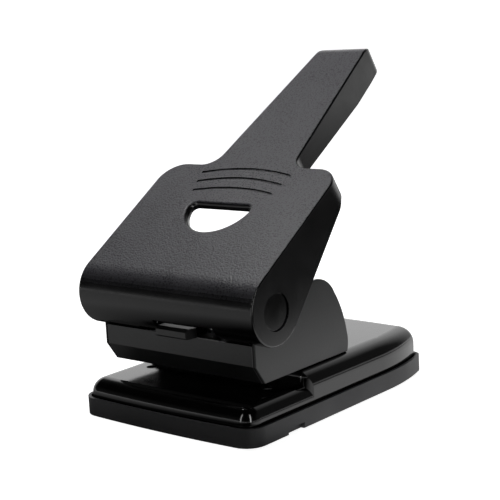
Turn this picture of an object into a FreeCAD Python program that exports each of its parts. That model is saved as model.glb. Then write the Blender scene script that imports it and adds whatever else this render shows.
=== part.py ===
import FreeCAD, Part
import os
import math

V = FreeCAD.Vector

# Two-hole desk punch. Millimetres, +Z up, front (paper side) towards -Y.
# Origin on the desk, midway between the holes and 41.6 mm behind their line.

# ---- driving dimensions -------------------------------------------------
HOLE_SPACING = 80.0
PIN_Y = -41.6
PIN_R = 3.0
RUN_GAP = 0.06

# Plan of the chip tray: width grows a little towards the back, then the
# sides curve in to a bowed rear edge.
PLAN_FRONT_HALF = 58.8
PLAN_WIDE_HALF = 60.2
PLAN_REAR_HALF = 53.4
PLAN_FRONT_Y = -77.7
PLAN_BEND_Y = 38.0
PLAN_REAR_Y = 81.5
PLAN_BOW = 2.0
FRONT_CORNER = 10.8
REAR_CORNER = 7.0

TRAY_H = 9.7
TRAY_WALL = 1.6

SHELL_INSET = 2.6
SHELL_T = 1.2
SHELL_Z0 = 2.6
TABLE_Z = 19.1
TABLE_ROUND = 8.0
DECK_Z = 26.6
DECK_ROUND = 9.5
STEP_CORNER = 9.0
STEP_ROUND = 4.2
STEP_FOOT_Y = -29.6

CHEEK_X = 51.3
CHEEK_T = 1.5
FRONT_Y = -63.5
FRONT_TOP_Z = 46.6
BEND_Z = 36.3
NOSE_Y = -56.8
GUIDE_T = 2.4
UPPER_Z0 = 51.2
UPPER_Z1 = 53.4

PIVOT_Y = -55.1
PIVOT_Z = 64.2
AXLE_R = 4.0
AXLE_END = 57.5

LEVER_TILT = 33.28
LEVER_W = 118.2
LEVER_T = 1.5
BARREL_R = 18.5
WIDE_LEN = 82.0
HANDLE_LEN = 194.2
HANDLE_HALF0 = 26.0
HANDLE_HALF1 = 16.1
END_ROLL = 11.0
SLOT_LIP = 3.8
SLOT_LIP_T = 2.4
SLOT_R = 20.2
SLOT_BACK = 50.4
SLOT_CENTRE = 51.1
CAP_R = 9.3
CAP_DROP = 1.2

LEVER_TRAVEL = 42.0
BAR_R = 3.0
PIN_ARM = PIN_Y - PIVOT_Y
BAR_RISE = PIN_ARM * math.tan(math.radians(LEVER_TRAVEL / 2))
BAR_Z = PIVOT_Z + BAR_RISE
HEAD_TOP = BAR_Z - BAR_R - 0.07
TIP_Z = 26.9
COLLAR_Z0 = 49.4
COLLAR_Z1 = 51.0
BUSH_TOP = 31.6

HINGE_Y = 76.5
HINGE_Z = 9.2
HINGE_R = 1.5

os.makedirs("parts", exist_ok=True)


# ---- helpers --------------------------------------------------------------
def save(name, solids):
    """Write one named piece as its own STEP file."""
    shape = solids if isinstance(solids, Part.Shape) else Part.makeCompound(solids)
    if shape.ShapeType == "Compound" and len(shape.Solids) == 1:
        shape = shape.Solids[0]
    shape.exportStep("parts/" + name + ".step")


def outline(steps, lift):
    """Closed wire. A step is (a, b), or (mid a, mid b, a, b) for an arc."""
    here = lift(steps[0][0], steps[0][1])
    first = here
    edges = []
    for step in steps[1:]:
        there = lift(step[-2], step[-1])
        if len(step) == 4:
            mid = lift(step[0], step[1])
            edges.append(Part.Arc(here, mid, there).toShape())
        else:
            edges.append(Part.makeLine(here, there))
        here = there
    if here.distanceToPoint(first) > 1e-6:
        edges.append(Part.makeLine(here, first))
    return Part.Wire(edges)


def plan_prism(steps, z0, z1):
    """Solid from an outline in X and Y, standing from z0 to z1."""
    wire = outline(steps, lambda a, b: V(a, b, z0))
    return Part.Face(wire).extrude(V(0, 0, z1 - z0))


def side_prism(steps, x0, x1):
    """Solid from an outline in Y and Z, running from x0 to x1."""
    wire = outline(steps, lambda a, b: V(x0, a, b))
    return Part.Face(wire).extrude(V(x1 - x0, 0, 0))


def box(x0, x1, y0, y1, z0, z1):
    return Part.makeBox(x1 - x0, y1 - y0, z1 - z0, V(x0, y0, z0))


def post(r, x, y, z0, z1):
    return Part.makeCylinder(r, z1 - z0, V(x, y, z0), V(0, 0, 1))


def rod(r, x0, x1, y, z):
    return Part.makeCylinder(r, x1 - x0, V(x0, y, z), V(1, 0, 0))


def mirror(shape):
    return shape.mirror(V(0, 0, 0), V(1, 0, 0))


def arc_mid(cx, cy, r, degrees):
    a = math.radians(degrees)
    return (cx + r * math.cos(a), cy + r * math.sin(a))


def tangent_mid(start, before, end):
    """Middle of the arc that leaves start in the line from before."""
    heading = math.atan2(start[1] - before[1], start[0] - before[0])
    chord = math.atan2(end[1] - start[1], end[0] - start[0])
    half_chord = math.hypot(end[0] - start[0], end[1] - start[1]) / 2
    bulge = half_chord * math.tan((chord - heading) / 2)
    x = (start[0] + end[0]) / 2 + bulge * math.sin(chord)
    y = (start[1] + end[1]) / 2 - bulge * math.cos(chord)
    return (x, y)


def base_plan_block(inset, z0, z1):
    """Upright block on the base outline, moved inwards by inset."""
    front = (PLAN_FRONT_HALF - inset, PLAN_FRONT_Y + inset)
    wide = (PLAN_WIDE_HALF - inset, PLAN_BEND_Y)
    rear = (PLAN_REAR_HALF - 0.72 * inset, PLAN_REAR_Y - 0.94 * inset)
    side = tangent_mid(wide, front, rear)
    steps = [
        (-rear[0], rear[1]),
        (0, PLAN_REAR_Y + PLAN_BOW - inset, rear[0], rear[1]),
        (side[0], side[1], wide[0], wide[1]),
        (front[0], front[1]),
        (0, PLAN_FRONT_Y - PLAN_BOW + inset, -front[0], front[1]),
        (-wide[0], wide[1]),
        (-side[0], side[1], -rear[0], rear[1]),
    ]
    block = plan_prism(steps, z0, z1)
    rears = [(-rear[0], rear[1]), (rear[0], rear[1])]
    fronts = [(-front[0], front[1]), (front[0], front[1])]
    block = round_uprights(block, rears, REAR_CORNER - inset / 3)
    return round_uprights(block, fronts, FRONT_CORNER - inset)


def round_uprights(block, spots, radius):
    """Round the upright edges that stand at the given plan points."""
    edges = []
    for x, y in spots:
        for edge in block.Edges:
            bb = edge.BoundBox
            near = abs(bb.XMin - x) + abs(bb.YMin - y) < 0.01
            if near and bb.ZLength > 0.5 and bb.XLength < 0.01:
                edges.append(edge)
    return block.makeFillet(radius, edges)


def edges_at_z(shape, z, y_min=-1e9):
    """Edges that lie wholly in the level z and behind y_min."""
    found = []
    for edge in shape.Edges:
        bb = edge.BoundBox
        level = abs(bb.ZMin - z) < 1e-4 and abs(bb.ZMax - z) < 1e-4
        if level and bb.YMax > y_min:
            found.append(edge)
    return found


# ---- chip tray --------------------------------------------------------------
def chip_tray():
    tray = base_plan_block(0, 0, TRAY_H)
    tray = tray.makeFillet(0.6, edges_at_z(tray, 0))
    tray = tray.cut(base_plan_block(TRAY_WALL, TRAY_WALL, TRAY_H + 1))
    ledge = base_plan_block(TRAY_WALL, TRAY_WALL, SHELL_Z0 - 0.05)
    ledge = ledge.cut(base_plan_block(TRAY_WALL + 3.4, 0, TRAY_H))
    ledge = ledge.cut(box(-70, 70, 52, 90, 0, 20))
    tray = tray.fuse(ledge)
    for side in (-1, 1):
        x = side * (PLAN_FRONT_HALF + 0.4)
        grip = box(x - 2.4, x + 2.4, -50.2, -37.4, -1, 3.2)
        tray = tray.cut(grip)
        tray = tray.fuse(tray_lug(side))
    return tray.removeSplitter()


def tray_lug(side):
    """Lug on the tray floor that hooks round the hinge rod."""
    x0 = side * 38.0 - 5.0
    x1 = side * 38.0 + 5.0
    r = HINGE_R + 1.7
    lug = rod(r, x0, x1, HINGE_Y, HINGE_Z)
    foot = box(x0, x1, HINGE_Y - r, HINGE_Y - 0.2, TRAY_WALL - 0.3, HINGE_Z)
    lug = lug.fuse(foot)
    lug = lug.common(box(x0, x1, 50, HINGE_Y + 0.55, 0, 30))
    return lug.cut(rod(HINGE_R + RUN_GAP, x0 - 1, x1 + 1, HINGE_Y, HINGE_Z))


def hinge_rod():
    return rod(HINGE_R, -46.0, 46.0, HINGE_Y, HINGE_Z)


def hinge_brackets():
    """Four lugs inside the base shell that carry the hinge rod."""
    lugs = []
    for x0 in (-46.0, -31.5, 29.5, 44.0):
        x1 = x0 + 2.0
        top = DECK_Z - SHELL_T
        plate = box(x0, x1, HINGE_Y - 6, HINGE_Y + 0.5, HINGE_Z, top)
        eye = rod(HINGE_R + 1.0, x0, x1, HINGE_Y - 0.6, HINGE_Z)
        lug = plate.fuse(eye)
        lug = lug.common(base_block(SHELL_T, SHELL_Z0))
        lugs.append(lug.cut(rod(HINGE_R, x0 - 1, x1 + 1, HINGE_Y, HINGE_Z)))
    return lugs


# ---- base shell ---------------------------------------------------------------
def base_block(inset, z0):
    """Low table in front, raised deck behind; inset gives the inner face."""
    out = SHELL_INSET + inset
    top = DECK_Z - inset
    low = base_plan_block(out, z0, TABLE_Z - inset)
    low = low.makeFillet(TABLE_ROUND - inset, edges_at_z(low, TABLE_Z - inset))
    high = base_plan_block(out, z0, top)
    high = high.makeFillet(DECK_ROUND - inset, edges_at_z(high, top))
    high = high.common(step_block(inset, z0))
    return low.fuse(high).removeSplitter()


def step_block(inset, z0):
    """Upright front face of the deck, where the paper stops."""
    half = PLAN_WIDE_HALF - SHELL_INSET - inset + 1.0
    front = STEP_FOOT_Y + 0.6 + inset
    block = box(-half, half, front, 100, z0 - 1, DECK_Z - inset)
    spots = [(-half, front), (half, front)]
    block = round_uprights(block, spots, STEP_CORNER - inset)
    top = [e for e in edges_at_z(block, DECK_Z - inset) if e.BoundBox.YMin < 0]
    return block.makeFillet(STEP_ROUND - inset, top)


def base_shell():
    shell = base_block(0, SHELL_Z0).cut(base_block(SHELL_T, SHELL_Z0 - 5))
    for x in (-HOLE_SPACING / 2, HOLE_SPACING / 2):
        shell = shell.cut(post(PIN_R + 0.2, x, PIN_Y, 0, 40))
    for x, y in SCREW_SPOTS:
        shell = shell.cut(post(2.1, x, y, 15, 40))
    shell = shell.cut(box(-80, 80, HINGE_Y - 2, HINGE_Y + 10, 0, 5.4))
    for x in (-38.0, 38.0):
        shell = shell.cut(box(x - 6, x + 6, HINGE_Y + 0.5, HINGE_Y + 8, 0, 9.0))
    return shell


SCREW_SPOTS = [(-34, -14), (34, -14), (-34, 4), (34, 4)]
RIVET_SPOTS = [(-43.5, -34.6), (43.5, -34.6), (-20, -48), (20, -48)]


def die_plate():
    z1 = TABLE_Z - SHELL_T
    z0 = z1 - 3.0
    plate = box(-47.2, 47.2, -53, -31.5, z0, z1)
    plate = plate.makeFillet(3, [e for e in plate.Edges if e.BoundBox.ZLength > 2.9])
    for x in (-HOLE_SPACING / 2, HOLE_SPACING / 2):
        plate = plate.cut(post(PIN_R + RUN_GAP, x, PIN_Y, 0, 40))
        plate = plate.cut(post(PIN_R + 0.8, x, PIN_Y, z0 - 1, z0 + 1.4))
    for x, y in RIVET_SPOTS:
        plate = plate.cut(post(1.5, x, y, 0, 40))
    return plate


def die_rivets():
    z1 = TABLE_Z - SHELL_T
    z0 = z1 - 3.0
    rivets = []
    for x, y in RIVET_SPOTS:
        shank = post(1.5, x, y, z0 - 0.1, z1)
        head = post(2.8, x, y, z0 - 1.4, z0)
        head = head.makeFillet(1.0, edges_at_z(head, z0 - 1.4))
        rivets.append(shank.fuse(head).removeSplitter())
    return rivets


# ---- body ----------------------------------------------------------------------
def guide_plate():
    """Floor plate of the body; the punch pins leave it downwards."""
    half = CHEEK_X - CHEEK_T
    plate = box(-half, half, NOSE_Y + 1.4, 10.5, DECK_Z, DECK_Z + GUIDE_T)
    for x in (-HOLE_SPACING / 2, HOLE_SPACING / 2):
        plate = plate.cut(post(5.0, x, PIN_Y, 0, 60))
    for x, y in SCREW_SPOTS:
        plate = plate.cut(post(2.1, x, y, 0, 60))
    return plate


def frame_screws():
    screws = []
    top = DECK_Z + GUIDE_T
    for x, y in SCREW_SPOTS:
        shank = post(2.0, x, y, DECK_Z - SHELL_T - 5.5, top + 0.5)
        head = post(3.8, x, y, top, top + 2.6)
        head = head.makeFillet(1.2, edges_at_z(head, top + 2.6))
        head = head.cut(cross_slot(x, y, top + 1.2, top + 4))
        screws.append(shank.fuse(head).removeSplitter())
    return screws


def cross_slot(x, y, z0, z1):
    one = box(x - 2.0, x + 2.0, y - 0.45, y + 0.45, z0, z1)
    two = box(x - 0.45, x + 0.45, y - 2.0, y + 2.0, z0, z1)
    return one.fuse(two)


def frame_nuts():
    nuts = []
    z1 = DECK_Z - SHELL_T
    for x, y in SCREW_SPOTS:
        corners = [arc_mid(x, y, 4.0, 60 * k) for k in range(6)]
        nut = plan_prism(corners, z1 - 3.2, z1)
        nuts.append(nut.cut(post(2.0, x, y, 0, 40)))
    return nuts


def cheek_outline():
    """Side plate in Y and Z, hub at the front, rounded back."""
    hub = 8.2
    return [
        (FRONT_Y, BEND_Z),
        (FRONT_Y, PIVOT_Z),
        (PIVOT_Y - 5.9, PIVOT_Z + 5.9, PIVOT_Y + 0.4, PIVOT_Z + hub),
        (-26.0, 70.4),
        (-13.0, 69.9),
        (-3.6, 67.7, 3.4, 60.6),
        (9.7, 49.2, 13.3, 37.0),
        (13.9, 31.6, 12.9, DECK_Z),
        (NOSE_Y, DECK_Z),
        (FRONT_Y, BEND_Z),
    ]


def cheek(side):
    x0 = side * (CHEEK_X - CHEEK_T)
    x1 = side * CHEEK_X
    plate = side_prism(cheek_outline(), min(x0, x1), max(x0, x1))
    outer = [e for e in plate.Edges if abs(e.BoundBox.XMin - x1) < 1e-4]
    outer = [e for e in outer if abs(e.BoundBox.XMax - x1) < 1e-4]
    plate = plate.makeFillet(0.6, outer)
    plate = plate.cut(rod(AXLE_R + 0.01, -70, 70, PIVOT_Y, PIVOT_Z))
    for y, z in TENONS:
        plate = plate.cut(rod(1.6, -70, 70, y, z))
    return plate


TENONS = [(-44.0, 52.3), (-34.0, 52.3)]


def upper_guide():
    """Bridge between the side plates that keeps the pins upright."""
    half = CHEEK_X - CHEEK_T
    plate = box(-half, half, -51, -32, UPPER_Z0, UPPER_Z1)
    for x in (-HOLE_SPACING / 2, HOLE_SPACING / 2):
        plate = plate.cut(post(PIN_R + RUN_GAP, x, PIN_Y, 0, 90))
    return plate


def bridge_pegs():
    """Riveted pegs that hold the bridge ends in the side plates."""
    pegs = []
    half = CHEEK_X - CHEEK_T
    for side in (-1, 1):
        for y, z in TENONS:
            x0 = min(side * half, side * (CHEEK_X - 0.1))
            x1 = max(side * half, side * (CHEEK_X - 0.1))
            pegs.append(rod(1.6, x0, x1, y, z))
    return pegs


def guide_bushes():
    bushes = []
    for x in (-HOLE_SPACING / 2, HOLE_SPACING / 2):
        body = post(5.0, x, PIN_Y, DECK_Z, BUSH_TOP - 1.0)
        flange = post(6.4, x, PIN_Y, DECK_Z + GUIDE_T, DECK_Z + GUIDE_T + 1.2)
        neck = post(4.4, x, PIN_Y, DECK_Z, BUSH_TOP)
        bush = body.fuse(flange).fuse(neck)
        bush = bush.cut(post(PIN_R + RUN_GAP, x, PIN_Y, 0, 60))
        bushes.append(bush.removeSplitter())
    return bushes


def front_plate():
    """Upright apron that bends back under the body."""
    half = CHEEK_X - CHEEK_T - 0.05
    t = 1.4
    steps = [
        (FRONT_Y + 0.2, FRONT_TOP_Z),
        (FRONT_Y + 0.2 + t, FRONT_TOP_Z),
        (FRONT_Y + 0.2 + t, BEND_Z + 0.6),
        (NOSE_Y + t, DECK_Z + 0.6),
        (NOSE_Y + t, DECK_Z),
        (NOSE_Y, DECK_Z),
        (FRONT_Y + 0.2, BEND_Z),
    ]
    return side_prism(steps, -half, half)


def rear_cover():
    """Curved sheet that closes the back between the side plates."""
    half = CHEEK_X - CHEEK_T - 0.05
    steps = [
        (-15.0, 69.0),
        (-4.4, 66.7, 2.4, 60.0),
        (8.6, 48.8, 12.2, 36.8),
        (12.8, 32.5, 12.2, DECK_Z + 0.1),
        (11.0, DECK_Z + 0.1),
        (11.6, 32.5, 11.0, 36.5),
        (7.5, 48.3, 1.4, 59.3),
        (-5.1, 65.6, -15.0, 67.8),
    ]
    sheet = side_prism(steps, -half, half)
    for x in (-47.0, 47.0):
        sheet = sheet.cut(box(x - 2.0, x + 2.0, -20, 10, 57.0, 75))
    return sheet


def pivot_axle():
    axle = rod(AXLE_R, -AXLE_END, AXLE_END, PIVOT_Y, PIVOT_Z)
    for x in (-54.3, 53.3):
        ring = rod(AXLE_R + 1, x, x + 1.0, PIVOT_Y, PIVOT_Z)
        axle = axle.cut(ring.cut(rod(AXLE_R - 0.9, x, x + 1.0, PIVOT_Y, PIVOT_Z)))
    return axle


def axle_washers():
    washers = []
    for x0, x1 in ((48.05, 49.75), (51.35, 53.2)):
        ring = rod(7.6, x0, x1, PIVOT_Y, PIVOT_Z)
        ring = ring.cut(rod(AXLE_R + 0.02, x0, x1, PIVOT_Y, PIVOT_Z))
        washers.append(ring)
        washers.append(mirror(ring))
    return washers


def axle_clips():
    x0 = 53.35
    x1 = 54.25
    clip = rod(6.6, x0, x1, PIVOT_Y, PIVOT_Z)
    clip = clip.cut(rod(AXLE_R - 0.88, x0, x1, PIVOT_Y, PIVOT_Z))
    clip = clip.cut(box(x0, x1, PIVOT_Y - 2.2, PIVOT_Y + 2.2, PIVOT_Z - 9, PIVOT_Z))
    return [clip, mirror(clip)]


# ---- lever ---------------------------------------------------------------------
def tilt(shape):
    """From the lever's own axes (pivot at 0, top level) to its place."""
    placed = shape.copy()
    placed.rotate(V(0, 0, 0), V(1, 0, 0), LEVER_TILT)
    placed.translate(V(0, PIVOT_Y, PIVOT_Z))
    return placed


def lever_block(inset, z0, z1):
    """Wide front part narrowing through a concave curve to the handle."""
    w = LEVER_W / 2 - inset
    rear = WIDE_LEN - inset
    n = HANDLE_HALF0 + 1.0 - inset
    m = HANDLE_HALF1 - inset
    end = HANDLE_LEN + 0.6 - inset
    right = [(w, -40), (w, rear), (n, rear), (m, end)]
    left = [(-x, y) for x, y in reversed(right)]
    block = plan_prism(right + left, z0, z1)
    block = round_uprights(block, [(w, rear), (-w, rear)], 14.0 - inset)
    block = round_uprights(block, [(n, rear), (-n, rear)], 10.0 + inset)
    return round_uprights(block, [(m, end), (-m, end)], 10.0 - inset)


def lever_side():
    """Barrel and skirt seen from the side, in the lever's own axes."""
    low = arc_mid(0, 0, BARREL_R, 275)
    front = arc_mid(0, 0, BARREL_R, 182)
    roll = arc_mid(HANDLE_LEN - END_ROLL, BARREL_R - END_ROLL, END_ROLL, 45)
    return [
        (0, BARREL_R),
        (HANDLE_LEN - END_ROLL, BARREL_R),
        (roll[0], roll[1], HANDLE_LEN, BARREL_R - END_ROLL),
        (HANDLE_LEN, 1.6),
        (HANDLE_LEN - 3.0, 0.8),
        (178, 0.3),
        (158, 0.5),
        (92, 6.7),
        (73, 5.6),
        (68.3, 3.2),
        low,
        (front[0], front[1], 0, BARREL_R),
    ]


def lever_inside():
    r = BARREL_R - LEVER_T
    front = arc_mid(0, 0, r, 154)
    end = arc_mid(0, 0, r, 218)
    far = arc_mid(0, 0, 90, 218)
    bend = END_ROLL - LEVER_T
    roll = arc_mid(HANDLE_LEN - END_ROLL, BARREL_R - END_ROLL, bend, 45)
    return [
        (0, r),
        (HANDLE_LEN - END_ROLL, r),
        (roll[0], roll[1], HANDLE_LEN - LEVER_T, BARREL_R - END_ROLL),
        (HANDLE_LEN - LEVER_T, -90),
        far,
        end,
        (front[0], front[1], 0, r),
    ]


def wedge(r0, r1, a0, a1, x0, x1):
    """Sector of a thick tube round the pivot, in the lever's own axes."""
    steps = [(0, 0), arc_mid(0, 0, r1, a0), arc_mid(0, 0, r1, a1)]
    return side_prism(steps, x0, x1).cut(rod(r0, x0, x1, 0, 0))


def finger_slot(grow, z0, z1):
    """D-shaped opening: straight at the back, one round arc in front."""
    radius = SLOT_R + grow
    back = SLOT_BACK + grow
    side = math.sqrt(radius ** 2 - (SLOT_CENTRE - back) ** 2)
    steps = [
        (-side, back),
        (side, back),
        (0, SLOT_CENTRE - radius, -side, back),
    ]
    block = plan_prism(steps, z0, z1)
    return round_uprights(block, [(-side, back), (side, back)], 3.2 + grow)


def slot_rim_edges(shell):
    """Top edges of the finger slot."""
    rim = []
    for edge in edges_at_z(shell, BARREL_R):
        bb = edge.BoundBox
        if bb.YMin > 29 and bb.YMax < 54 and abs(bb.XMin) < 24 and abs(bb.XMax) < 24:
            rim.append(edge)
    return rim


# Half length, ends and crown of each curved groove.
GROOVES = [(30.4, 75.0, 79.1), (29.0, 67.6, 71.6), (27.0, 60.5, 63.7)]


def groove(half, ends, crown):
    """Shallow curved groove across the top."""
    bow = crown - ends
    radius = (half * half + bow * bow) / (2 * bow)
    y = crown - radius
    ring = Part.makeCylinder(radius + 0.8, 4, V(0, y, BARREL_R - 0.75))
    ring = ring.cut(Part.makeCylinder(radius - 0.8, 4, V(0, y, BARREL_R - 0.75)))
    return ring.common(box(-half, half, ends - 2, crown + 3, 0, 40))


def lever_shell():
    outer = lever_block(0, -30, 40)
    outer = outer.common(side_prism(lever_side(), -80, 80))
    top = [e for e in outer.Edges if crease_edge(e)]
    outer = outer.makeFillet(1.0, top)
    inner = lever_block(LEVER_T, -100, 60)
    inner = inner.common(side_prism(lever_inside(), -80, 80))
    shell = outer.cut(inner)
    lip = finger_slot(SLOT_LIP_T, BARREL_R - SLOT_LIP, BARREL_R - 0.5)
    shell = shell.fuse(lip).cut(finger_slot(0, 0, 40)).removeSplitter()
    shell = shell.makeFillet(2.6, slot_rim_edges(shell))
    for half, ends, crown in GROOVES:
        shell = shell.cut(groove(half, ends, crown))
    shell = shell.cut(wedge(12, 30, 176, 222, -8.6, 31.7))
    shell = shell.cut(wedge(12, 30, 200, 222, -24, -8.5))
    for x0 in (-52.1, 49.2):
        shell = shell.cut(wedge(12, 30, 201, 222, x0, x0 + 2.9))
    return lever_hubs(tilt(shell))


def crease_edge(edge):
    """Edges of the flat top, and the barrel's two side rims."""
    bb = edge.BoundBox
    level = abs(bb.ZMin - BARREL_R) < 1e-4 and abs(bb.ZMax - BARREL_R) < 1e-4
    if level and bb.YMax > HANDLE_LEN - END_ROLL - 0.1 and bb.YLength < 0.01:
        return False
    if level:
        return bb.XLength < 60 or bb.YMax > 150
    side = abs(bb.XLength) < 1e-4 and abs(abs(bb.XMin) - LEVER_W / 2) < 1e-4
    return side and bb.YMin < -BARREL_R + 1.5


def lever_hubs(shell):
    """Sunk round seats for the axle caps, with the axle bores."""
    half = LEVER_W / 2
    cap_z = PIVOT_Z - CAP_DROP
    for side in (-1, 1):
        x0 = min(side * (half - 3.2), side * (half - LEVER_T))
        x1 = max(side * (half - 3.2), side * (half - LEVER_T))
        hole = rod(CAP_R + 0.25, min(side * 50, side * 70), max(side * 50, side * 70), PIVOT_Y, cap_z)
        shell = shell.cut(hole)
        shell = shell.fuse(rod(CAP_R + 1.6, x0, x1, PIVOT_Y, cap_z))
    return shell.cut(rod(AXLE_R + RUN_GAP, -70, 70, PIVOT_Y, PIVOT_Z))


def axle_cap(side):
    half = LEVER_W / 2
    x0 = min(side * (half - LEVER_T + 0.02), side * (half - 0.7))
    x1 = max(side * (half - LEVER_T + 0.02), side * (half - 0.7))
    cap = rod(CAP_R, x0, x1, PIVOT_Y, PIVOT_Z - CAP_DROP)
    rim = side * (half - 0.7)
    edges = [e for e in cap.Edges if abs(e.BoundBox.XMin - rim) < 1e-4]
    return cap.makeFillet(0.45, [e for e in edges if e.BoundBox.XLength < 1e-4])


def arm_outline():
    """Inner arm in the lever's own axes: hub, bar eye and back strap."""
    hub = 8.0
    top = BARREL_R - LEVER_T - 0.05
    return [
        (-hub, 0),
        (-5.66, 5.66, 0, hub),
        (22, top - 3),
        (52, top - 3),
        (52, top),
        (76, top),
        (76, top - 6),
        (40, top - 11),
        (20, -6.6),
        (12, -7.7),
        (-1.5, -7.86),
        (-6.4, -4.8, -hub, 0),
    ]


def lever_arm(side):
    x0 = min(side * 46.0, side * 48.0)
    arm = side_prism(arm_outline(), x0, x0 + 2.0)
    arm = tilt(arm)
    arm = arm.cut(rod(AXLE_R + RUN_GAP, -70, 70, PIVOT_Y, PIVOT_Z))
    return arm.cut(rod(BAR_R, -70, 70, PIN_Y, BAR_Z))


def arm_bridge():
    """Cross strap under the top plate that ties the two arms together."""
    top = BARREL_R - LEVER_T - 0.05
    strap = box(-45.95, 45.95, 54, 75, top - 2.0, top)
    lip = box(-45.95, 45.95, 73, 75, top - 6.5, top - 1)
    return tilt(strap.fuse(lip).removeSplitter())


def bridge_rivets():
    """Rivets that fix the strap to the underside of the top plate."""
    top = BARREL_R - LEVER_T
    rivets = []
    for x in (-36, -12, 12, 36):
        head = Part.makeCylinder(2.6, 1.2, V(x, 64, top - 3.25))
        rivets.append(tilt(head))
    return rivets


def press_bar():
    bar = rod(BAR_R, -48.9, 48.9, PIN_Y, BAR_Z)
    ends = [e for e in bar.Edges if e.BoundBox.XLength < 1e-4]
    return bar.makeChamfer(0.5, ends)


# ---- punch pins ------------------------------------------------------------------
def punch_pin(x):
    shaft = post(PIN_R, x, PIN_Y, TIP_Z, HEAD_TOP - 1.0)
    head = post(4.5, x, PIN_Y, HEAD_TOP - 2.2, HEAD_TOP)
    head = head.makeFillet(0.6, edges_at_z(head, HEAD_TOP))
    pin = shaft.fuse(head).removeSplitter()
    hollow = Part.makeCone(2.2, 0.4, 1.8, V(x, PIN_Y, TIP_Z), V(0, 0, 1))
    neck = post(PIN_R + 1, x, PIN_Y, COLLAR_Z0 + 0.3, COLLAR_Z1 - 0.3)
    neck = neck.cut(post(PIN_R - 0.5, x, PIN_Y, COLLAR_Z0, COLLAR_Z1))
    return pin.cut(hollow).cut(neck)


def pin_collar(x):
    collar = post(5.4, x, PIN_Y, COLLAR_Z0, COLLAR_Z1)
    collar = collar.cut(post(PIN_R, x, PIN_Y, COLLAR_Z0, COLLAR_Z1))
    key = post(PIN_R + 0.6, x, PIN_Y, COLLAR_Z0 + 0.32, COLLAR_Z1 - 0.32)
    key = key.cut(post(PIN_R - 0.48, x, PIN_Y, 0, 90))
    return collar.fuse(key)


def return_spring(x):
    """Coil round the pin between its guide bush and its collar."""
    wire = 0.55
    coil = 4.3
    z0 = BUSH_TOP + wire + 0.02
    height = COLLAR_Z0 - BUSH_TOP - 2 * wire - 0.04
    helix = Part.makeHelix(height / 6.0, height, coil)
    disc = Part.makeCircle(wire, V(coil, 0, 0), V(0, 1, 0))
    pipe = Part.Wire(helix).makePipeShell([Part.Wire(disc)], True, True)
    pipe.translate(V(x, PIN_Y, z0))
    return pipe


# ---- lever lock ---------------------------------------------------------------------
def lock_knob():
    """Sliding catch that stands out under the barrel."""
    x0 = -7.4
    x1 = 14.2
    y1 = FRONT_Y + 0.1
    z0 = FRONT_TOP_Z + 0.2
    steps = [
        (y1, z0),
        (y1, z0 + 5.2),
        (-68.0, z0 + 5.2),
        (-70.2, z0 + 3.8),
        (-70.2, z0 + 0.8),
        (-69.4, z0),
    ]
    knob = side_prism(steps, x0, x1)
    bevel = [(x1 - 2.6, -75), (x1 + 4, -75), (x1 + 4, y1 + 1), (x1, y1 + 1), (x1, y1)]
    knob = knob.cut(plan_prism(bevel, 30, 60))
    neck = box(x0 + 3, x1 - 3, y1 - 0.1, FRONT_Y + 1.65, z0, z0 + 3.4)
    return knob.fuse(neck).removeSplitter()


def lock_blade():
    """Flat blade behind the apron, carried by the catch."""
    y0 = FRONT_Y + 1.65
    blade = box(-22.0, 29.0, y0, y0 + 1.2, 38.5, FRONT_TOP_Z - 0.5)
    tongue = box(-4.4, 11.2, y0, y0 + 1.2, 44.0, FRONT_TOP_Z + 3.6)
    hook = box(29.0, 33.0, y0, y0 + 1.2, 38.5, 42.0)
    return blade.fuse(tongue).fuse(hook).removeSplitter()


# ---- write every piece ------------------------------------------------------------------
LEFT = -HOLE_SPACING / 2
RIGHT = HOLE_SPACING / 2

save("chip_tray", chip_tray())
save("hinge_rod", hinge_rod())
save("hinge_brackets", hinge_brackets())
save("base_shell", base_shell())
save("die_plate", die_plate())
save("die_rivets", die_rivets())
save("guide_plate", guide_plate())
save("frame_screws", frame_screws())
save("frame_nuts", frame_nuts())
save("cheek_left", cheek(-1))
save("cheek_right", cheek(1))
save("upper_guide", upper_guide())
save("bridge_pegs", bridge_pegs())
save("guide_bushes", guide_bushes())
save("front_plate", front_plate())
save("rear_cover", rear_cover())
save("pivot_axle", pivot_axle())
save("axle_washers", axle_washers())
save("axle_clips", axle_clips())
save("lever_shell", lever_shell())
save("axle_cap_left", axle_cap(-1))
save("axle_cap_right", axle_cap(1))
save("lever_arm_left", lever_arm(-1))
save("lever_arm_right", lever_arm(1))
save("arm_bridge", arm_bridge())
save("bridge_rivets", bridge_rivets())
save("press_bar", press_bar())
save("punch_pin_left", punch_pin(LEFT))
save("punch_pin_right", punch_pin(RIGHT))
save("pin_collar_left", pin_collar(LEFT))
save("pin_collar_right", pin_collar(RIGHT))
save("return_spring_left", return_spring(LEFT))
save("return_spring_right", return_spring(RIGHT))
save("lock_knob", lock_knob())
save("lock_blade", lock_blade())
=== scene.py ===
import math

import bpy
from mathutils import Matrix, Vector


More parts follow.
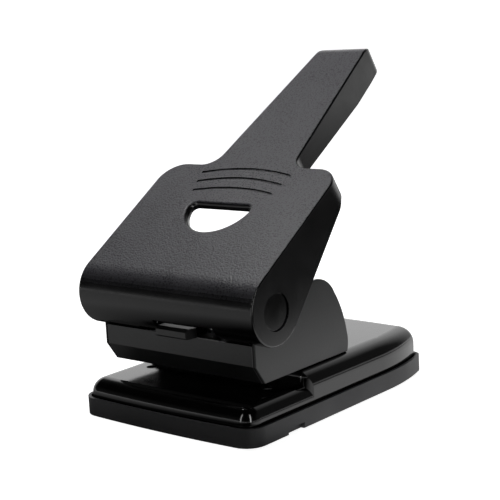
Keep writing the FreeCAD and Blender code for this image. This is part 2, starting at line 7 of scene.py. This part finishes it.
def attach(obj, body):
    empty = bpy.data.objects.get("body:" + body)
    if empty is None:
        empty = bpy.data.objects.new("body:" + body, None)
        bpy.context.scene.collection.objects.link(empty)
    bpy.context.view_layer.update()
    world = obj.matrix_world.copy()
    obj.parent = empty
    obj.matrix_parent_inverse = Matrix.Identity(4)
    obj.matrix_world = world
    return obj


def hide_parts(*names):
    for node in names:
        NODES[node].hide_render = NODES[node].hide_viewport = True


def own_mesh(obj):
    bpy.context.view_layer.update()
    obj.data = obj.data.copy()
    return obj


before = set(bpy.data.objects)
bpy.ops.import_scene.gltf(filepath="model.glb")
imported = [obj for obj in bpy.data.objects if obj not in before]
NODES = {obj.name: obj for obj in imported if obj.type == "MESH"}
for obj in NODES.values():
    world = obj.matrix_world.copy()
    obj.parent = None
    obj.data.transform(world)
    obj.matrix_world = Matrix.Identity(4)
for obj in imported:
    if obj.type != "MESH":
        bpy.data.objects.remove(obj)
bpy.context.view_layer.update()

scene = bpy.context.scene


# ---- camera -----------------------------------------------------------------
AZIMUTH = math.radians(39.86)
ELEVATION = math.radians(10.17)
ROLL = math.radians(-3.02)
CAMERA_AT = Vector((0.4173, -0.5015, 0.1964))
FOCAL_PX = 1229.8
FRAME_PX = 500.0
SENSOR_MM = 36.0


def add_camera():
    data = bpy.data.cameras.new("Camera")
    data.sensor_width = SENSOR_MM
    data.lens = FOCAL_PX / FRAME_PX * data.sensor_width
    data.clip_start = 0.01
    data.clip_end = 100.0
    right = Vector((math.cos(AZIMUTH), math.sin(AZIMUTH), 0.0))
    level = math.cos(ELEVATION)
    back = Vector((math.sin(AZIMUTH) * level, -math.cos(AZIMUTH) * level, math.sin(ELEVATION)))
    up = back.cross(right)
    rolled_right = right * math.cos(ROLL) + up * math.sin(ROLL)
    rolled_up = up * math.cos(ROLL) - right * math.sin(ROLL)
    cam = bpy.data.objects.new("Camera", data)
    scene.collection.objects.link(cam)
    turned = Matrix((rolled_right, rolled_up, back)).transposed().to_4x4()
    cam.matrix_world = Matrix.Translation(CAMERA_AT) @ turned
    scene.camera = cam


add_camera()


# ---- node helpers -------------------------------------------------------------
CELL_SMOOTHNESS = 0.35
# Colour sockets of the Mix node
MIX_A = 6
MIX_B = 7
MIX_RESULT = 2


def new_material(name):
    mat = bpy.data.materials.new(name)
    mat.use_nodes = True
    tree = mat.node_tree
    shader = tree.nodes["Principled BSDF"]
    return mat, tree, shader


def node(tree, kind, **settings):
    """New shader node; a setting named in_X_Y goes to its socket "X Y", any other to the node."""
    made = tree.nodes.new(kind)
    for key, value in settings.items():
        if key.startswith("in_"):
            made.inputs[key[3:].replace("_", " ")].default_value = value
        else:
            setattr(made, key, value)
    return made


def place(tree, scale=(1, 1, 1)):
    """Row-frame coordinates in metres, stretched by scale."""
    coords = node(tree, "ShaderNodeTexCoord")
    mapping = node(tree, "ShaderNodeMapping")
    mapping.inputs["Scale"].default_value = scale
    tree.links.new(coords.outputs["Object"], mapping.inputs["Vector"])
    return mapping.outputs["Vector"]


def noise(tree, where, scale, detail=3.0, rough=0.55):
    made = node(tree, "ShaderNodeTexNoise", in_Scale=scale, in_Detail=detail, in_Roughness=rough)
    tree.links.new(where, made.inputs["Vector"])
    return made.outputs["Fac"]


def cells(tree, where, scale):
    made = node(tree, "ShaderNodeTexVoronoi", feature="SMOOTH_F1", in_Scale=scale)
    made.inputs["Smoothness"].default_value = CELL_SMOOTHNESS
    tree.links.new(where, made.inputs["Vector"])
    return made.outputs["Distance"]


def ramp(tree, value, low, high, out_low, out_high):
    """Straight change from out_low at low to out_high at high, held beyond both ends."""
    made = node(tree, "ShaderNodeMapRange")
    sockets = {"From Min": low, "From Max": high, "To Min": out_low, "To Max": out_high}
    for name, number in sockets.items():
        made.inputs[name].default_value = number
    tree.links.new(value, made.inputs["Value"])
    return made.outputs["Result"]


def colours(tree, value, stops):
    made = node(tree, "ShaderNodeValToRGB")
    band = made.color_ramp
    for index, (at, rgb) in enumerate(stops):
        stop = band.elements[index] if index < 2 else band.elements.new(at)
        stop.position = at
        stop.color = (*rgb, 1.0)
    tree.links.new(value, made.inputs["Fac"])
    return made.outputs["Color"]


def math_node(tree, operation, a, b):
    made = node(tree, "ShaderNodeMath", operation=operation)
    for index, value in enumerate((a, b)):
        if isinstance(value, (int, float)):
            made.inputs[index].default_value = value
        else:
            tree.links.new(value, made.inputs[index])
    return made.outputs[0]


def mix_colour(tree, factor, first, second):
    """first where factor is 0, second where it is 1; second may be a plain colour."""
    made = node(tree, "ShaderNodeMix", data_type="RGBA")
    tree.links.new(factor, made.inputs["Factor"])
    tree.links.new(first, made.inputs[MIX_A])
    if isinstance(second, tuple):
        made.inputs[MIX_B].default_value = (*second, 1.0)
    else:
        tree.links.new(second, made.inputs[MIX_B])
    return made.outputs[MIX_RESULT]


def weigh(tree, first, share, second, rest):
    """share of first plus rest of second."""
    first = math_node(tree, "MULTIPLY", first, share)
    second = math_node(tree, "MULTIPLY", second, rest)
    return math_node(tree, "ADD", first, second)


def bump(tree, shader, height, strength, distance):
    made = node(tree, "ShaderNodeBump", in_Strength=strength, in_Distance=distance)
    tree.links.new(height, made.inputs["Height"])
    tree.links.new(made.outputs["Normal"], shader.inputs["Normal"])


def grey(value, warm=0.0):
    """Grey, a little redder and less blue when warm is above 0."""
    return (value * (1 + warm), value, value * (1 - warm))


# ---- materials -----------------------------------------------------------------
# Grain scales are in cells per metre, bump heights in metres.
LEVER_TOP_NORMAL = (0.0, -0.549, 0.836)


def pebbled_coat():
    """Dark coat, pebbled on top and smooth round the barrel and down the sides; painted lit on the
    top and painted in deep shade round the barrel and down the sides.
    """
    mat, tree, shader = new_material("lever_coating")
    where = place(tree)
    pebble = cells(tree, where, 900.0)
    fine = noise(tree, where, 1500.0, 2.0)
    broad = noise(tree, where, 60.0, 3.0)
    grain = math_node(tree, "ADD", pebble, math_node(tree, "MULTIPLY", fine, 0.7))
    tone = weigh(tree, grain, 0.55, broad, 0.25)
    top = top_face(tree)
    # Painted light and shade: lit colours for the top, near-black shade colours for the barrel and
    # the side walls.
    lit_top_stops = [(0.43, (0.008, 0.008, 0.010)), (0.55, (0.092, 0.090, 0.102))]
    shaded_sides_stops = [(0.3, (0.0022, 0.0022, 0.0028)), (0.7, (0.0040, 0.0039, 0.0048))]
    lit_top = colours(tree, tone, lit_top_stops)
    shaded_sides = colours(tree, broad, shaded_sides_stops)
    tree.links.new(mix_colour(tree, top, shaded_sides, lit_top), shader.inputs["Base Color"])
    spread = ramp(tree, broad, 0.3, 0.7, -0.02, 0.03)
    rough = math_node(tree, "ADD", ramp(tree, top, 0.0, 1.0, 0.22, 0.36), spread)
    tree.links.new(rough, shader.inputs["Roughness"])
    shader.inputs["Specular IOR Level"].default_value = 0.5
    height = math_node(tree, "MULTIPLY", grain, top)
    bump(tree, shader, height, 0.6, 0.00020)
    return mat


def top_face(tree):
    """1 on the lever's sloping top, 0 on the barrel and the side walls; sets where the coat is
    painted lit and where it is painted in shade.
    """
    geometry = node(tree, "ShaderNodeNewGeometry")
    dot = node(tree, "ShaderNodeVectorMath", operation="DOT_PRODUCT")
    tree.links.new(geometry.outputs["True Normal"], dot.inputs[0])
    dot.inputs[1].default_value = LEVER_TOP_NORMAL
    return ramp(tree, dot.outputs["Value"], 0.80, 0.99, 0.0, 1.0)


# Joint between the apron and the side plates, and a painted highlight along the apron edge beside
# it, in metres
SEAM_X = 0.0501
SEAM_HALF = 0.00045
SEAM_TONE = (0.0008, 0.0008, 0.0010)
# Painted highlight line beside the joint
GLINT_X = 0.0493
GLINT_HALF = 0.00020
GLINT_TONE = (0.10, 0.10, 0.105)
SEAM_BACK_Y = -0.0553
LINE_FADE = 0.0002


def line_at(tree, across, centre, half):
    """1 within half of centre, falling to 0 just outside it."""
    away = math_node(tree, "ABSOLUTE", math_node(tree, "SUBTRACT", across, centre), 0.0)
    return ramp(tree, away, half, half + LINE_FADE, 1.0, 0.0)


def apron_seam(tree, colour, rough):
    """Dark joint line and a painted highlight along the apron edge where the apron meets the side
    plates.
    """
    coords = node(tree, "ShaderNodeTexCoord")
    split = node(tree, "ShaderNodeSeparateXYZ")
    tree.links.new(coords.outputs["Object"], split.inputs[0])
    across = math_node(tree, "ABSOLUTE", split.outputs["X"], 0.0)
    front = ramp(tree, split.outputs["Y"], SEAM_BACK_Y, SEAM_BACK_Y + LINE_FADE, 1.0, 0.0)
    gap = math_node(tree, "MULTIPLY", line_at(tree, across, SEAM_X, SEAM_HALF), front)
    # Painted highlight: pale line along the apron edge, next to the dark joint.
    edge_glint = math_node(tree, "MULTIPLY", line_at(tree, across, GLINT_X, GLINT_HALF), front)
    colour = mix_colour(tree, gap, colour, SEAM_TONE)
    colour = mix_colour(tree, edge_glint, colour, GLINT_TONE)
    return colour, math_node(tree, "MAXIMUM", rough, gap)


def body_paint(low, high, roughness):
    """Satin black of the side plates, apron and rear cover, with a slight orange peel."""
    mat, tree, shader = new_material("body_paint")
    where = place(tree)
    peel = noise(tree, where, 900.0, 2.0)
    broad = noise(tree, where, 45.0, 4.0)
    stops = [(0.3, grey(low, -0.04)), (0.75, grey(high, -0.04))]
    mixed = weigh(tree, peel, 0.4, broad, 0.6)
    rough = ramp(tree, broad, 0.3, 0.7, roughness - 0.03, roughness + 0.05)
    # Adds the dark joint and the painted edge highlight.
    colour, rough = apron_seam(tree, colours(tree, mixed, stops), rough)
    tree.links.new(colour, shader.inputs["Base Color"])
    tree.links.new(rough, shader.inputs["Roughness"])
    shader.inputs["Specular IOR Level"].default_value = 0.5
    bump(tree, shader, peel, 0.18, 0.00012)
    return mat


def gloss_enamel():
    """Deep gloss black of the base, faintly rippled and dusty."""
    mat, tree, shader = new_material("base_gloss")
    where = place(tree)
    ripple = noise(tree, where, 120.0, 2.0)
    dust = noise(tree, where, 2500.0, 2.0)
    stops = [(0.35, grey(0.0035)), (0.8, grey(0.006))]
    tree.links.new(colours(tree, ripple, stops), shader.inputs["Base Color"])
    tree.links.new(ramp(tree, dust, 0.45, 0.8, 0.11, 0.16), shader.inputs["Roughness"])
    shader.inputs["Specular IOR Level"].default_value = 0.5
    bump(tree, shader, ripple, 0.10, 0.00025)
    return mat


def tray_plastic():
    """Matte moulded black of the chip tray."""
    mat, tree, shader = new_material("tray_plastic")
    where = place(tree)
    grain = noise(tree, where, 1800.0, 3.0, 0.65)
    broad = noise(tree, where, 30.0, 3.0)
    mixed = weigh(tree, grain, 0.5, broad, 0.5)
    stops = [(0.3, (0.020, 0.020, 0.023)), (0.75, (0.034, 0.034, 0.038))]
    tree.links.new(colours(tree, mixed, stops), shader.inputs["Base Color"])
    tree.links.new(ramp(tree, broad, 0.3, 0.7, 0.50, 0.60), shader.inputs["Roughness"])
    bump(tree, shader, grain, 0.3, 0.00010)
    return mat


def steel(name, tone, roughness, along):
    """Bare or plated steel with fine marks along one axis."""
    mat, tree, shader = new_material(name)
    where = place(tree, along)
    marks = noise(tree, where, 1.0, 4.0, 0.7)
    broad = noise(tree, place(tree), 90.0, 3.0)
    shader.inputs["Metallic"].default_value = 1.0
    mixed = weigh(tree, marks, 0.5, broad, 0.5)
    stops = [(0.3, (tone * 0.72, tone * 0.73, tone * 0.75)), (0.75, (tone, tone, tone * 1.02))]
    tree.links.new(colours(tree, mixed, stops), shader.inputs["Base Color"])
    rough = ramp(tree, marks, 0.3, 0.75, roughness - 0.06, roughness + 0.1)
    tree.links.new(rough, shader.inputs["Roughness"])
    bump(tree, shader, marks, 0.25, 0.00005)
    return mat


def moulded(name, tone, roughness):
    """Smooth moulded black plastic."""
    mat, tree, shader = new_material(name)
    where = place(tree)
    grain = noise(tree, where, 1400.0, 2.0)
    broad = noise(tree, where, 70.0, 3.0)
    mixed = weigh(tree, grain, 0.4, broad, 0.6)
    stops = [(0.3, grey(tone * 0.7)), (0.75, grey(tone))]
    tree.links.new(colours(tree, mixed, stops), shader.inputs["Base Color"])
    rough = ramp(tree, broad, 0.3, 0.7, roughness - 0.04, roughness + 0.05)
    tree.links.new(rough, shader.inputs["Roughness"])
    bump(tree, shader, grain, 0.12, 0.00008)
    return mat


COAT = pebbled_coat()
BODY = body_paint(0.016, 0.030, 0.36)
GLOSS = gloss_enamel()
TRAY = tray_plastic()
CAP = moulded("cap_gloss", 0.008, 0.16)
LOCK = moulded("lock_plastic", 0.020, 0.32)
BRIGHT = steel("bright_steel", 0.62, 0.24, (300, 300, 5000))
ZINC = steel("zinc_steel", 0.50, 0.36, (90, 2600, 2600))

PAINTS = {
    "lever_shell": COAT,
    "cheek_left": BODY,
    "cheek_right": BODY,
    "front_plate": BODY,
    "rear_cover": BODY,
    "bridge_pegs": BODY,
    "base_shell": GLOSS,
    "chip_tray": TRAY,
    "axle_cap_left": CAP,
    "axle_cap_right": CAP,
    "lock_knob": LOCK,
}
BARE = {
    "pivot_axle",
    "press_bar",
    "punch_pin_left",
    "punch_pin_right",
    "guide_bushes",
    "hinge_rod",
    "return_spring_left",
    "return_spring_right",
}

for name, thing in NODES.items():
    paint = PAINTS.get(name) or (BRIGHT if name in BARE else ZINC)
    thing.data.materials.clear()
    thing.data.materials.append(paint)


def soft_spring(side):
    """Return spring copied from the coil it stands for, riding with the base in place of the
    hidden coil node.
    """
    coil = NODES["return_spring_" + side]
    piece = bpy.data.objects.new("soft_spring_" + side, coil.data.copy())
    scene.collection.objects.link(piece)
    piece.matrix_world = coil.matrix_world.copy()
    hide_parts("return_spring_" + side)
    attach(piece, "base")
    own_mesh(piece)


for side in ("left", "right"):
    soft_spring(side)


# ---- stage ------------------------------------------------------------------
FLOOR_HALF = 30.0
FLOOR_EMISSION = 0.93
# The pool of light that the gloss shows: strong close behind the punch, weaker in front of it
POOL_HALF = 0.9
POOL_LIFT = 0.0003
POOL_REAR = 1.2
POOL_RIGHT = 0.04
POOL_FRONT = 0.55
TOWARDS_FRONT_LEFT = (-0.64, -0.77, 0.0)
WORLD_STRENGTH = 1.3
BODY_CENTRE = (0.0, 0.0, 0.09)


def flat_square(name, half):
    """Square mesh object on the floor, reaching half to each side."""
    mesh = bpy.data.meshes.new(name)
    corners = [(-half, -half, 0), (half, -half, 0), (half, half, 0), (-half, half, 0)]
    mesh.from_pydata(corners, [], [(0, 1, 2, 3)])
    made = bpy.data.objects.new(name, mesh)
    scene.collection.objects.link(made)
    return made


def add_floor():
    """Pale floor, white to the camera and left out of the gloss."""
    floor = flat_square("Floor", FLOOR_HALF)
    mat, tree, shader = new_material("floor")
    shader.inputs["Base Color"].default_value = (0.8, 0.8, 0.8, 1)
    shader.inputs["Roughness"].default_value = 0.9
    shader.inputs["Specular IOR Level"].default_value = 0.1
    shader.inputs["Emission Color"].default_value = (1, 1, 1, 1)
    shader.inputs["Emission Strength"].default_value = FLOOR_EMISSION
    floor.data.materials.append(mat)
    floor.visible_glossy = False
    floor.visible_diffuse = False


def add_floor_glow():
    """Pool of light on the floor round the punch, seen only in its gloss."""
    glow = flat_square("FloorGlow", POOL_HALF)
    glow.location = (0, 0, POOL_LIFT)
    mat, tree, shader = new_material("floor_glow")
    coords = node(tree, "ShaderNodeTexCoord")
    split = node(tree, "ShaderNodeSeparateXYZ")
    tree.links.new(coords.outputs["Object"], split.inputs[0])
    dot = node(tree, "ShaderNodeVectorMath", operation="DOT_PRODUCT")
    tree.links.new(coords.outputs["Object"], dot.inputs[0])
    dot.inputs[1].default_value = TOWARDS_FRONT_LEFT
    ahead = dot.outputs["Value"]
    near = ramp(tree, split.outputs["X"], 0.15, 0.21, POOL_REAR, POOL_RIGHT)
    behind = math_node(tree, "MULTIPLY", near, ramp(tree, ahead, -0.02, 0.02, 1.0, 0.0))
    in_front = ramp(tree, ahead, 0.08, 0.20, 0.0, POOL_FRONT)
    level = math_node(tree, "MAXIMUM", behind, in_front)
    shader.inputs["Base Color"].default_value = (0, 0, 0, 1)
    shader.inputs["Specular IOR Level"].default_value = 0.0
    shader.inputs["Emission Color"].default_value = (1, 1, 1, 1)
    tree.links.new(level, shader.inputs["Emission Strength"])
    glow.data.materials.append(mat)
    glow.visible_camera = False
    glow.visible_diffuse = False
    glow.visible_shadow = False


def add_world():
    """White just above the horizon all round and high up at the back left, dark elsewhere."""
    world = bpy.data.worlds.new("World")
    world.use_nodes = True
    scene.world = world
    tree = world.node_tree
    back = tree.nodes["Background"]
    coords = node(tree, "ShaderNodeTexCoord")
    split = node(tree, "ShaderNodeSeparateXYZ")
    tree.links.new(coords.outputs["Generated"], split.inputs[0])
    # The ramps below run over parts of the unit view direction: X right, Y back, Z up.
    depth = split.outputs["Y"]
    height = split.outputs["Z"]
    top = ramp(tree, depth, -0.3, 0.7, 0.24, 0.62)
    over = math_node(tree, "SUBTRACT", height, top)
    under_top = ramp(tree, over, 0.0, 0.18, 1.0, 0.05)
    left = ramp(tree, split.outputs["X"], -0.15, 0.35, 1.0, 0.06)
    behind = ramp(tree, depth, -0.15, 0.35, 0.04, 1.0)
    back_left = math_node(tree, "MULTIPLY", left, behind)
    sheet = math_node(tree, "MULTIPLY", under_top, back_left)
    rim = ramp(tree, height, 0.035, 0.06, 1.0, 0.0)
    above_floor = ramp(tree, height, -0.03, -0.012, 0.02, 1.0)
    shade = math_node(tree, "MULTIPLY", math_node(tree, "MAXIMUM", sheet, rim), above_floor)
    made = node(tree, "ShaderNodeCombineColor")
    for channel in range(3):
        tree.links.new(shade, made.inputs[channel])
    tree.links.new(made.outputs[0], back.inputs["Color"])
    back.inputs["Strength"].default_value = WORLD_STRENGTH


def add_area(name, at, target, width, height, power):
    """Rectangular lamp at a point, turned to a target; sizes in metres, power in watts."""
    data = bpy.data.lights.new(name, "AREA")
    data.shape = "RECTANGLE"
    data.size = width
    data.size_y = height
    data.energy = power
    lamp = bpy.data.objects.new(name, data)
    scene.collection.objects.link(lamp)
    lamp.location = at
    aim = Vector(target) - Vector(at)
    lamp.rotation_euler = aim.to_track_quat("-Z", "Y").to_euler()
    lamp.visible_camera = False
    return lamp


def add_lamps():
    """A soft top light, a small lamp for the sheen of the lever and two strips for the base."""
    soft = add_area("Top", (-0.12, 0.22, 0.90), (0, -0.02, 0.09), 0.4, 0.4, 2.3)
    soft.visible_glossy = False
    add_area("Sheen", (-0.44, -0.06, 1.02), BODY_CENTRE, 0.14, 0.14, 2.0)
    strips = (
        ("StripFront", (-0.24, -1.30, 0.55), 4.0),
        ("StripRight", (1.05, -0.70, 0.55), 6.0),
    )
    for name, spot, power in strips:
        strip = add_area(name, spot, (0, 0, 0.05), 0.15, 1.3, power)
        strip.visible_diffuse = False


add_floor()
add_floor_glow()
add_world()
add_lamps()

scene.view_settings.view_transform = "Standard"
